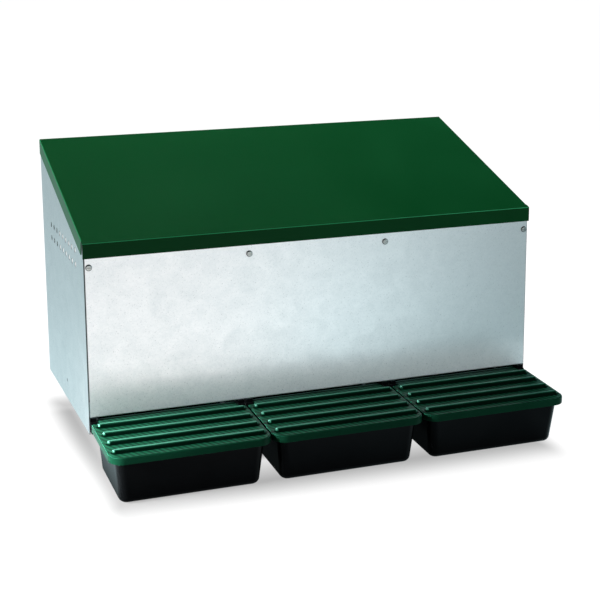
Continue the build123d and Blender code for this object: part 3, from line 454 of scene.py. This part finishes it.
# %% Group: rubbed edges
rubbed_edges, start, end = new_group(
    "rubbed_edges",
    (("Place", "NodeSocketVector", None), ("Edge width", "NodeSocketFloat", 1.5 * MM)),
    ("Rub",),
)
rounded = add(rubbed_edges, "Bevel", samples=4)
join(rubbed_edges, start.outputs["Edge width"], rounded.inputs["Radius"])
true_normal = add(rubbed_edges, "NewGeometry")
agree = add(rubbed_edges, "VectorMath", operation="DOT_PRODUCT")
join(rubbed_edges, rounded.outputs[0], agree.inputs[0])
join(rubbed_edges, true_normal.outputs["Normal"], agree.inputs[1])
edge = spread(rubbed_edges, agree.outputs["Value"], 0.99, 0.80, 0.0, 1.0)
broken = add(rubbed_edges, "TexNoise", Scale=160.0, Detail=4.0)
join(rubbed_edges, start.outputs["Place"], broken.inputs["Vector"])
kept = spread(rubbed_edges, broken.outputs["Fac"], 0.38, 0.62, 0.25, 1.0)
join(rubbed_edges, maths(rubbed_edges, "MULTIPLY", edge, kept, clamp=True), end.inputs["Rub"])
print("group", rubbed_edges.name)

# %% [markdown]
# The box is bare galvanised steel. It is a metal all over, so what varies is
# its colour and roughness: bright, smoother crystals beside duller ones, and
# the specks darker. Three marks are set by place. A painted shadow line runs
# down the corner where the front panel's edge stands off the side, the screws'
# heads get a painted shade on their rims, where they turn away from the front,
# and the foot of the front panel, which hands and lids rub, is duller. The same
# recipe with finer crystals finishes the plated screws, rivets and hinges.

# %% Galvanised sheet and zinc plating
METAL_SHARE, SPECK_DARKNESS, CRYSTAL_DEPTH = 0.95, 0.72, 0.4 * MM
CORNER_SIDE, CORNER_FRONT = (447.6 * MM, 448.4 * MM), (-413.5 * MM, -415.0 * MM)
# CORNER_SHADE is a painted shadow line and RIM_SHADE a painted shade for the screw heads' rims.
CORNER_SHADE, RIM_SHADE = (0.055, 0.060, 0.062), (0.014, 0.018, 0.017)
SCUFF_HEIGHT = 65.0 * MM
panel_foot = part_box("front_panel")[0][2]


def add_relief(tree, shader, height, strength, depth):
    bump = add(tree, "Bump", Strength=strength, Distance=depth)
    join(tree, height, bump.inputs["Height"])
    join(tree, bump.outputs[0], shader.inputs["Normal"])


def facing(tree):
    return add(tree, "TexCoord").outputs["Normal"]


def plated(name, dull, bright, smooth, rough, relief, rim_shade_share=0.0, scuff=0.0, **scales):
    material, tree, shader, place = new_finish(name, Metallic=METAL_SHARE)
    crystals = use_group(tree, zinc_crystals, place, **scales)
    colour = blend_colour(tree, crystals["Tone"], dull, bright)
    speck = tuple(SPECK_DARKNESS * part for part in dull)
    colour = blend_colour(tree, crystals["Specks"], colour, speck)
    frontal = maths(tree, "ABSOLUTE", parts(tree, facing(tree))["Y"])
    # Painted shade: darker where a surface turns away from the front, as on a screw head's rim.
    rim = spread(tree, frontal, 0.55, 0.95, rim_shade_share, 0.0)
    colour = blend_colour(tree, rim, colour, RIM_SHADE)
    spot = parts(tree, place)
    # Painted shadow line: a thin strip down the front corner's gap is darkened in the colour.
    front = spread(tree, spot["Y"], *CORNER_FRONT, 0.0, 1.0)
    sideward = spread(tree, maths(tree, "ABSOLUTE", spot["X"]), *CORNER_SIDE, 0.0, 1.0)
    corner = maths(tree, "MULTIPLY", sideward, front)
    join(tree, blend_colour(tree, corner, colour, CORNER_SHADE), shader.inputs["Base Color"])
    gloss = spread(tree, crystals["Tone"], 0.0, 1.0, rough, smooth)
    low = spread(tree, spot["Z"], panel_foot, panel_foot + SCUFF_HEIGHT, scuff, 0.0)
    scuffed = maths(tree, "MULTIPLY", low, front)
    join(tree, maths(tree, "ADD", gloss, scuffed), shader.inputs["Roughness"])
    add_relief(tree, shader, crystals["Height"], relief, CRYSTAL_DEPTH)
    return material


galvanised = plated(
    "galvanised_sheet", (0.82, 0.850, 0.862), (0.985, 0.995, 1.0), 0.31, 0.43, 0.14, scuff=0.30,
    Crystals_per_metre=330.0, Clouds_per_metre=24.0,
)
zinc_plating = plated(
    "zinc_plating", (0.56, 0.57, 0.56), (0.80, 0.80, 0.77), 0.22, 0.36, 0.06,
    Crystals_per_metre=900.0, Clouds_per_metre=140.0,
)
# The front panel's screws get the painted shade on their heads' rims.
screw_zinc = plated(
    "screw_zinc", (0.34, 0.36, 0.35), (0.58, 0.60, 0.58), 0.22, 0.36, 0.06, rim_shade_share=0.9,
    Crystals_per_metre=900.0, Clouds_per_metre=140.0,
)
print("finishes", galvanised.name, zinc_plating.name, screw_zinc.name)

# %% [markdown]
# The roof is sprayed a deep green with a soft gloss. Its folded edges get a
# painted highlight, a pale green line: the mask reads the surface's own
# direction and is strongest halfway round the bend.

# %% Roof paint
FRONT_HEIGHT, REAR_HEIGHT, BOX_DEPTH = 360.0, 492.0, 418.0
ROOF_SLOPE = math.atan2(REAR_HEIGHT - FRONT_HEIGHT, BOX_DEPTH)
ROOF_DEEP, ROOF_PALE = (0.0012, 0.0490, 0.0105), (0.0018, 0.0560, 0.0128)
# The fold tone below is a painted highlight, weaker on the side folds than on the front one.
FOLD_HIGHLIGHT = (0.085, 0.680, 0.300)
FOLDS = (((0, -1, 0), 1.0), ((-1, 0, 0), 0.3), ((1, 0, 0), 0.3))
roof_normal = Vector((0.0, -math.sin(ROOF_SLOPE), math.cos(ROOF_SLOPE)))


def along(tree, vector, direction):
    node = add(tree, "VectorMath", operation="DOT_PRODUCT")
    join(tree, vector, node.inputs[0])
    node.inputs[1].default_value = direction
    return node.outputs["Value"]


roof_paint, tree, shader, place = new_finish(
    "roof_paint", Specular_IOR_Level=0.5, Specular_Tint=(0.12, 0.24, 0.17, 1.0),
)
grain = use_group(tree, fine_grain, place, Grains_per_metre=620.0, Patches_per_metre=7.0)
colour = blend_colour(tree, grain["Patch"], ROOF_DEEP, ROOF_PALE)
# Painted highlight along each folded edge, mixed in last.
fold = 0.0
for face, highlight_share in FOLDS:
    halfway = along(tree, facing(tree), (roof_normal + Vector(face)).normalized())
    fold = maths(tree, "MAXIMUM", fold, spread(tree, halfway, 0.955, 0.995, 0.0, highlight_share))
join(tree, blend_colour(tree, fold, colour, FOLD_HIGHLIGHT), shader.inputs["Base Color"])
join(tree, spread(tree, grain["Patch"], 0.0, 1.0, 0.30, 0.36), shader.inputs["Roughness"])
add_relief(tree, shader, grain["Grain"], 0.05, 0.5 * MM)
print("finish", roof_paint.name)

# %% [markdown]
# The trays are a black moulded plastic, glossy outside, with the faint grain
# of the mould and edges that have gone grey where they are handled.

# %% Tray plastic
TRAY_DEEP, TRAY_PALE = (0.0020, 0.0024, 0.0027), (0.0033, 0.0038, 0.0043)
TRAY_RUB, TRAY_RUB_SHARE = (0.018, 0.020, 0.022), 0.5
tray_black, tree, shader, place = new_finish(
    "tray_plastic", Specular_IOR_Level=0.5, Specular_Tint=(0.02, 0.025, 0.03, 1.0),
)
grain = use_group(tree, fine_grain, place, Grains_per_metre=900.0, Patches_per_metre=16.0)
rub = use_group(tree, rubbed_edges, place, Edge_width=1.2 * MM)["Rub"]
colour = blend_colour(tree, grain["Patch"], TRAY_DEEP, TRAY_PALE)
colour = blend_colour(tree, maths(tree, "MULTIPLY", rub, TRAY_RUB_SHARE), colour, TRAY_RUB)
join(tree, colour, shader.inputs["Base Color"])
join(tree, spread(tree, grain["Patch"], 0.0, 1.0, 0.17, 0.24), shader.inputs["Roughness"])
add_relief(tree, shader, grain["Grain"], 0.03, 0.4 * MM)
print("finish", tray_black.name)

# %% [markdown]
# The lids are a green moulded plastic. The hatch of the mould and the painted
# highlights and painted shade laid on them all follow the ribs. So the finish
# first needs each point's distance from the nearest rib. The ribs repeat at one
# pitch and the lids at another, and a ping-pong function folds all twelve ribs
# onto one, which is shorter than measuring every rib.

# %% Lid plastic: distance to the ribs
LID_TILT, LID_TOP = math.radians(2.7), 3.6 * MM
NEST_PITCH, RIB_COUNT, RIB_PITCH, FIRST_RIB = 300.0 * MM, 4, 40.0 * MM, 25.5 * MM
RIB_HALF_LENGTH, RIB_HALF_WIDTH, RIB_FOOT = 141.5 * MM, 6.2 * MM, 0.8 * MM
lid_up = Vector((0.0, -math.sin(LID_TILT), math.cos(LID_TILT)))
lid_forward = Vector((0.0, -math.cos(LID_TILT), -math.sin(LID_TILT)))
lid_hinge = hinge_places["left_lid_hinge"]
plate_level = lid_up.dot(lid_hinge) + LID_TOP
first_line = lid_forward.dot(lid_hinge) + FIRST_RIB
lid_green, tree, shader, place = new_finish(
    "lid_plastic", Specular_IOR_Level=0.12, Specular_Tint=(0.03, 0.08, 0.06, 1.0),
)
ahead = maths(tree, "SUBTRACT", along(tree, place, lid_forward), first_line)
from_line = maths(tree, "PINGPONG", ahead, RIB_PITCH / 2)
sideways = maths(tree, "PINGPONG", parts(tree, place)["X"], NEST_PITCH / 2)
past_end = maths(tree, "SUBTRACT", sideways, RIB_HALF_LENGTH - RIB_HALF_WIDTH)
past_end = maths(tree, "MAXIMUM", past_end, 0.0)
from_rib = hypotenuse(tree, from_line, past_end)
above_plate = along(tree, place, lid_up)
raised = spread(tree, above_plate, plate_level + 1.5 * MM, plate_level + 2.5 * MM, 0.0, 1.0)
print("ribs every", RIB_PITCH, "m")

# %% [markdown]
# Four masks come from it. The crowns of the ribs get a painted highlight. Their
# flanks and feet get a painted shade, as dark as the shadow a rib throws, but
# not their rounded ends. The shoulders that look sideways get a painted
# highlight, and the raised rib ends a stronger one. Between the ribs the mould
# left a fine slanting hatch, a band texture turned about the upright axis and
# kept to the flats, which are the faces that look almost straight up.

# %% Lid plastic: masks
HATCH_PITCH, HATCH_TURN = 9.6 * MM, math.radians(-29.5)
BANDS_PER_SCALE = 20.0 / (2.0 * math.pi)
normal = parts(tree, facing(tree))
# Painted highlight: a pale line along each rib's crown.
rib_top_highlight = spread(tree, from_rib, 1.8 * MM, 3.0 * MM, 1.0, 0.0)
# Painted shade on the ribs' upper flanks down to just past their feet, left off the rounded ends.
at_foot = spread(tree, from_rib, 3.6 * MM, 4.6 * MM, 0.0, 1.0)
near_foot = spread(tree, from_rib, 7.0 * MM, 8.4 * MM, 0.96, 0.0)
rib_end = maths(tree, "MULTIPLY", raised, spread(tree, past_end, 0.5 * MM, 1.5 * MM, 0.0, 1.0))
foot_shade = maths(tree, "MULTIPLY", at_foot, near_foot)
foot_shade = maths(tree, "MULTIPLY", foot_shade, maths(tree, "SUBTRACT", 1.0, rib_end))
# Painted highlight mask: shoulders that face sideways and a little up.
sideward = spread(tree, maths(tree, "ABSOLUTE", normal["X"]), 0.25, 0.55, 0.0, 1.0)
shoulder = maths(tree, "MULTIPLY", sideward, spread(tree, normal["Z"], 0.20, 0.50, 0.0, 1.0))
upright = spread(tree, normal["Z"], 0.985, 0.998, 0.0, 1.0)
flats = maths(tree, "SUBTRACT", upright, rib_top_highlight, clamp=True)
turned = add(tree, "Mapping")
turned.inputs["Rotation"].default_value = (0.0, 0.0, HATCH_TURN)
join(tree, place, turned.inputs["Vector"])
bands = add(
    tree, "TexWave", wave_type="BANDS", bands_direction="X", Distortion=0.0,
    Scale=1.0 / HATCH_PITCH / BANDS_PER_SCALE,
)
join(tree, turned.outputs[0], bands.inputs["Vector"])
hatching = maths(tree, "MULTIPLY", bands.outputs["Fac"], flats)
print("hatch every", HATCH_PITCH, "m")

# %% [markdown]
# The colours are then laid over each other, from the plain green to the painted
# shade at the ribs' feet, which comes last because it lies on everything else.
# Where that painted shade lies the roughness is raised too.

# %% Lid plastic: colours
LID_DEEP, LID_PALE = (0.0040, 0.0385, 0.0195), (0.0050, 0.0465, 0.0240)
FLAT_TONE, HATCH_TONE = (0.0026, 0.0250, 0.0125), (0.0135, 0.1150, 0.0600)
# The three pale tones for tops, shoulders and ends are painted highlights, and the darkest tone, laid
# last, is a painted shade.
TOP_HIGHLIGHT, TOP_HIGHLIGHT_SHARE = (0.072, 0.290, 0.198), 0.8
RUB_TONE, RUB_SHARE = (0.030, 0.180, 0.105), 0.35
SHOULDER_HIGHLIGHT, SHOULDER_HIGHLIGHT_SHARE, END_HIGHLIGHT = (0.055, 0.320, 0.210), 0.2, (0.11, 0.34, 0.26)
FOOT_SHADE_TONE, FOOT_SHADE_ROUGHNESS = (0.0006, 0.0060, 0.0032), 0.5
grain = use_group(tree, fine_grain, place, Grains_per_metre=800.0, Patches_per_metre=20.0)
rub = use_group(tree, rubbed_edges, place, Edge_width=1.0 * MM)["Rub"]
colour = blend_colour(tree, grain["Patch"], LID_DEEP, LID_PALE)
colour = blend_colour(tree, flats, colour, FLAT_TONE)
colour = blend_colour(tree, hatching, colour, HATCH_TONE)
# Painted highlight on the rib tops.
colour = blend_colour(tree, maths(tree, "MULTIPLY", rib_top_highlight, TOP_HIGHLIGHT_SHARE), colour, TOP_HIGHLIGHT)
colour = blend_colour(tree, maths(tree, "MULTIPLY", rub, RUB_SHARE), colour, RUB_TONE)
# Painted highlights on the sideways shoulders, stronger on the raised rib ends.
colour = blend_colour(tree, maths(tree, "MULTIPLY", shoulder, SHOULDER_HIGHLIGHT_SHARE), colour, SHOULDER_HIGHLIGHT)
colour = blend_colour(tree, maths(tree, "MULTIPLY", shoulder, raised), colour, END_HIGHLIGHT)
# Painted shade at the ribs' feet, laid over everything.
join(tree, blend_colour(tree, foot_shade, colour, FOOT_SHADE_TONE), shader.inputs["Base Color"])
gloss = spread(tree, upright, 0.0, 1.0, 0.20, 0.34)
# The roughness rises where the painted shade lies.
dulled = maths(tree, "ADD", gloss, maths(tree, "MULTIPLY", foot_shade, FOOT_SHADE_ROUGHNESS), clamp=True)
join(tree, dulled, shader.inputs["Roughness"])
height = maths(tree, "ADD", hatching, maths(tree, "MULTIPLY", grain["Grain"], 0.3))
add_relief(tree, shader, height, 0.25, 0.3 * MM)
print("finish", lid_green.name)

# %% [markdown]
# The nest mats are soft green plastic turf. Its colour goes between a darker
# and a paler green after a noise, and the gloss is low.

# %% Turf plastic
TURF_DEEP, TURF_PALE, TURF_MIDDLE = (0.012, 0.070, 0.016), (0.030, 0.130, 0.032), (0.020, 0.100, 0.022)
turf_green, tree, shader, place = new_finish("turf_plastic", Specular_IOR_Level=0.3)
grain = use_group(tree, fine_grain, place, Grains_per_metre=420.0, Patches_per_metre=30.0)
colour = blend_colour(tree, grain["Patch"], TURF_DEEP, TURF_PALE)
join(tree, blend_colour(tree, grain["Grain"], colour, TURF_MIDDLE), shader.inputs["Base Color"])
join(tree, spread(tree, grain["Grain"], 0.3, 0.7, 0.45, 0.65), shader.inputs["Roughness"])
add_relief(tree, shader, grain["Grain"], 0.3, 0.8 * MM)
print("finish", turf_green.name)

# %% [markdown]
# The record names a material slot for every solid, so the finishes go on by
# slot. Only the screws of the front panel, which are seen close up, get their
# own plating.

# %% Finishes on the solids
by_slot = {
    "galvanised_sheet": galvanised, "painted_roof": roof_paint, "tray_plastic": tray_black,
    "lid_plastic": lid_green, "mat_plastic": turf_green, "zinc_fasteners": zinc_plating,
}
for entry in frame["record"]["subparts"]:
    solid = nodes[entry["node"]]
    solid.data.materials.clear()
    solid.data.materials.append(by_slot[entry["material_slot"]])
nodes["front_panel_screws"].data.materials[0] = screw_zinc
print("finished", len(nodes), "solids")

# %% [markdown]
# Each lid is one thin moulding: a plate with rounded front corners, a skirt
# around three sides, four hollow ribs and a tongue that reaches back to its
# hinge. It could be cut from solids, but a moulding's soft edges come easier
# from one face: its corners are rounded by a vertex bevel, and then it is
# inset and raised in small steps, up the skirt and round the edge.

# %% Lid plate
LID_HALF, LID_REACH, LID_SHOULDER = 149.0 * MM, 172.0 * MM, 6.0 * MM
TONGUE_HALF, TONGUE_REAR = 134.5 * MM, 17.0 * MM
LID_SKIRT, LID_WALL = 13.0 * MM, 1.8 * MM
LID_CORNER, TONGUE_CORNER, SHOULDER_CORNER = 26.0 * MM, 6.0 * MM, 5.0 * MM
LID_EDGE_STEPS = ((0.30, 10.60), (0.15, 0.90), (0.45, 0.75), (0.75, 0.50), (0.90, 0.25), (1.20, 0.00))


def round_corners(bm, corners, radius, segments):
    bmesh.ops.bevel(
        bm, geom=list(corners), offset=radius, offset_type="OFFSET", segments=segments,
        profile=0.5, affect="VERTICES", material=-1,
    )


def raise_in_steps(bm, face, steps):
    return [
        bmesh.ops.inset_region(
            bm, faces=[face], use_boundary=True, use_even_offset=True,
            thickness=inset * MM, depth=rise * MM,
        )["faces"]
        for inset, rise in steps
    ]


def lid_plate(bm):
    outline = (
        (-LID_HALF, -LID_REACH), (LID_HALF, -LID_REACH), (LID_HALF, -LID_SHOULDER),
        (TONGUE_HALF, -LID_SHOULDER), (TONGUE_HALF, TONGUE_REAR), (-TONGUE_HALF, TONGUE_REAR),
        (-TONGUE_HALF, -LID_SHOULDER), (-LID_HALF, -LID_SHOULDER),
    )
    corners = [bm.verts.new((x, y, LID_TOP - LID_SKIRT)) for x, y in outline]
    bm.faces.new(corners)
    round_corners(bm, corners[0:2], LID_CORNER, 12)
    round_corners(bm, corners[4:6], TONGUE_CORNER, 5)
    round_corners(bm, (corners[2], corners[7]), SHOULDER_CORNER, 4)
    bm.faces.ensure_lookup_table()
    plate = bm.faces[0]
    skirt = raise_in_steps(bm, plate, LID_EDGE_STEPS)[0]
    rear = [face for face in skirt if face.calc_center_median().y > -LID_SHOULDER - SHOULDER_CORNER]
    bmesh.ops.delete(bm, geom=rear, context="FACES")
    bmesh.ops.delete(bm, geom=[plate], context="FACES_ONLY")


print("lid", 2 * LID_HALF, "m wide")

# %% [markdown]
# A rib starts as a long rectangle whose corners are rounded until its ends are
# half circles. It is raised in steps that are steep at the foot and flatten
# towards the top, so it gets a small hollow at its foot and a domed back. The
# plate is then filled around the four feet, and plate and ribs share their
# edges.

# %% Lid ribs
RIB_STEPS = (
    (0.80, 0.00), (0.20, 0.10), (0.20, 0.40), (0.20, 1.40), (0.35, 1.70), (0.60, 1.45), (0.85, 1.05),
    (1.00, 0.60), (1.00, 0.24), (0.90, 0.06),
)
NEARLY_ROUND, MERGE_DISTANCE, SAME_LEVEL = 0.995, 0.2 * MM, 0.01 * MM


def lid_rib(y):
    bm = bmesh.new()
    foot = bmesh.ops.create_grid(bm, x_segments=1, y_segments=1, size=1.0)["verts"]
    half_length, half_width = RIB_HALF_LENGTH + RIB_FOOT, RIB_HALF_WIDTH + RIB_FOOT
    size = Matrix.Diagonal((half_length, half_width, 1.0, 1.0))
    bmesh.ops.transform(bm, matrix=Matrix.Translation((0.0, y, LID_TOP)) @ size, verts=foot)
    round_corners(bm, foot, NEARLY_ROUND * half_width, 9)
    bmesh.ops.remove_doubles(bm, verts=bm.verts, dist=MERGE_DISTANCE)
    bm.faces.ensure_lookup_table()
    raise_in_steps(bm, bm.faces[0], RIB_STEPS)
    mesh = bpy.data.meshes.new("lid_rib")
    bm.to_mesh(mesh)
    bm.free()
    return mesh


def on_plate(edge):
    return edge.is_boundary and all(abs(vert.co.z - LID_TOP) < SAME_LEVEL for vert in edge.verts)


def lid_shell():
    bm = bmesh.new()
    lid_plate(bm)
    for number in range(RIB_COUNT):
        rib = lid_rib(-FIRST_RIB - number * RIB_PITCH)
        bm.from_mesh(rib)
        bpy.data.meshes.remove(rib)
    bmesh.ops.triangle_fill(bm, use_beauty=True, edges=[edge for edge in bm.edges if on_plate(edge)])
    bmesh.ops.recalc_face_normals(bm, faces=bm.faces)
    if sum(face.normal.z * face.calc_area() for face in bm.faces) < 0.0:
        bmesh.ops.reverse_faces(bm, faces=bm.faces)
    return bm


print("ribs", RIB_COUNT)

# %% [markdown]
# The hinge knuckles are short tubes under the ends of the tongue, which turn
# on the pins in the tray's ears. A tube is a rectangle spun once around the
# hinge's line.

# %% Lid knuckles
KNUCKLE_LENGTH, KNUCKLE_INNER, KNUCKLE_OUTER = 16.0 * MM, 2.6 * MM, 3.5 * MM
KNUCKLE_STEPS = 28


def lid_knuckles():
    bm = bmesh.new()
    for side in (-1, 1):
        inner_end, outer_end = side * (TONGUE_HALF - KNUCKLE_LENGTH), side * TONGUE_HALF
        outline = (
            (inner_end, KNUCKLE_INNER), (outer_end, KNUCKLE_INNER),
            (outer_end, KNUCKLE_OUTER), (inner_end, KNUCKLE_OUTER),
        )
        section = [bm.verts.new((x, 0.0, radius)) for x, radius in outline]
        edges = [bm.edges.new((section[number], section[(number + 1) % 4])) for number in range(4)]
        bmesh.ops.spin(
            bm, geom=section + edges, cent=(0, 0, 0), axis=(1, 0, 0), angle=2.0 * math.pi,
            steps=KNUCKLE_STEPS, use_merge=True,
        )
    bmesh.ops.recalc_face_normals(bm, faces=bm.faces)
    return bm


print("knuckles", KNUCKLE_LENGTH, "m long")

# %% [markdown]
# A new piece keeps its place in its mesh, rides on the body that carries it
# and takes its finish. The lid's shell gets its wall from a Solidify modifier
# and takes the place of the plainer solid lid.

# %% Lids
NESTS = ("left", "centre", "right")


def make_piece(name, bm, material, body, sharp_degrees):
    mesh = bpy.data.meshes.new(name)
    bm.edges.index_update()
    rim = [edge.index for edge in bm.edges if edge.is_boundary]
    bm.to_mesh(mesh)
    bm.free()
    mesh.shade_smooth()
    mesh.set_sharp_from_angle(angle=math.radians(sharp_degrees))
    for number in rim:
        mesh.edges[number].use_edge_sharp = True
    mesh.materials.append(material)
    piece = bpy.data.objects.new(name, mesh)
    scene.collection.objects.link(piece)
    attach(piece, body)
    return piece


for nest in NESTS:
    hinge = hinge_places[nest + "_lid_hinge"]
    on_hinge = Matrix.Translation(hinge) @ Matrix.Rotation(LID_TILT, 4, "X")
    shell = lid_shell()
    bmesh.ops.transform(shell, matrix=on_hinge, verts=shell.verts)
    lid = make_piece(nest + "_ribbed_lid", shell, lid_green, nest + "_lid", 50.0)
    wall = lid.modifiers.new("wall", "SOLIDIFY")
    wall.thickness = LID_WALL
    wall.offset = -1.0
    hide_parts(nest + "_tray_lid")
    tubes = lid_knuckles()
    bmesh.ops.transform(tubes, matrix=on_hinge, verts=tubes.verts)
    make_piece(nest + "_lid_knuckles", tubes, lid_green, nest + "_lid", 40.0)
    print("lid", nest, len(lid.data.polygons), "faces")

# %% [markdown]
# Turf stands on each nest mat. A blade is a slim four-sided spike, leaning a
# little its own way, and the blades stand in rows between the mat's drain
# slots. A seeded random number makes every run the same.

# %% Turf
MAT_THICKNESS, MAT_EDGE = 5.0 * MM, 5.0 * MM
SLOT_LENGTH, SLOT_WIDTH, SLOT_COLUMNS, SLOT_ROWS = 44.0 * MM, 8.0 * MM, 4, 6
BLADE_PITCH, BLADE_HEIGHT, BLADE_FOOT, BLADE_TIP = 8.0 * MM, 8.0 * MM, 1.5 * MM, 0.4 * MM
BLADE_LEAN, BLADE_SUNK = 0.3, 0.5 * MM
FLOOR_FALL, FLOOR_LENGTH = 44.0, 307.0
FLOOR_SLOPE = math.atan2(FLOOR_FALL, FLOOR_LENGTH)
lean = random.Random(11)


def in_slot(u, v, width, length):
    column = (u / width + 0.5) * SLOT_COLUMNS % 1.0 - 0.5
    row = (v / length + 0.5) * SLOT_ROWS % 1.0 - 0.5
    beside = abs(column) * width / SLOT_COLUMNS < SLOT_LENGTH / 2 + BLADE_FOOT
    before = abs(row) * length / SLOT_ROWS < SLOT_WIDTH / 2 + BLADE_FOOT
    return beside and before


def blade_turn():
    forward = Matrix.Rotation(lean.uniform(-BLADE_LEAN, BLADE_LEAN), 4, "X")
    sideways = Matrix.Rotation(lean.uniform(-BLADE_LEAN, BLADE_LEAN), 4, "Y")
    return forward @ sideways @ Matrix.Rotation(lean.uniform(0.0, math.pi), 4, "Z")


def turf(nest):
    low, high = (Vector(corner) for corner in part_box(nest + "_nest_mat"))
    width = high.x - low.x
    length = (high.y - low.y - MAT_THICKNESS * math.sin(FLOOR_SLOPE)) / math.cos(FLOOR_SLOPE)
    on_mat = Matrix.Translation((low + high) / 2) @ Matrix.Rotation(FLOOR_SLOPE, 4, "X")
    raised_half = Matrix.Translation((0.0, 0.0, BLADE_HEIGHT / 2 - BLADE_SUNK))
    columns = int((width - 2 * MAT_EDGE) / BLADE_PITCH)
    rows = int((length - 2 * MAT_EDGE) / BLADE_PITCH)
    bm = bmesh.new()
    for column in range(columns):
        for row in range(rows):
            u = (column - (columns - 1) / 2) * BLADE_PITCH
            v = (row - (rows - 1) / 2) * BLADE_PITCH
            turn = blade_turn()
            if in_slot(u, v, width, length):
                continue
            foot = on_mat @ Matrix.Translation((u, v, MAT_THICKNESS / 2)) @ turn
            bmesh.ops.create_cone(
                bm, cap_ends=True, segments=4, radius1=BLADE_FOOT, radius2=BLADE_TIP,
                depth=BLADE_HEIGHT, matrix=foot @ raised_half,
            )
    return bm


for nest in NESTS:
    blades = make_piece(nest + "_turf", turf(nest), turf_green, "box", 30.0)
    print("turf", nest, len(blades.data.polygons), "faces")
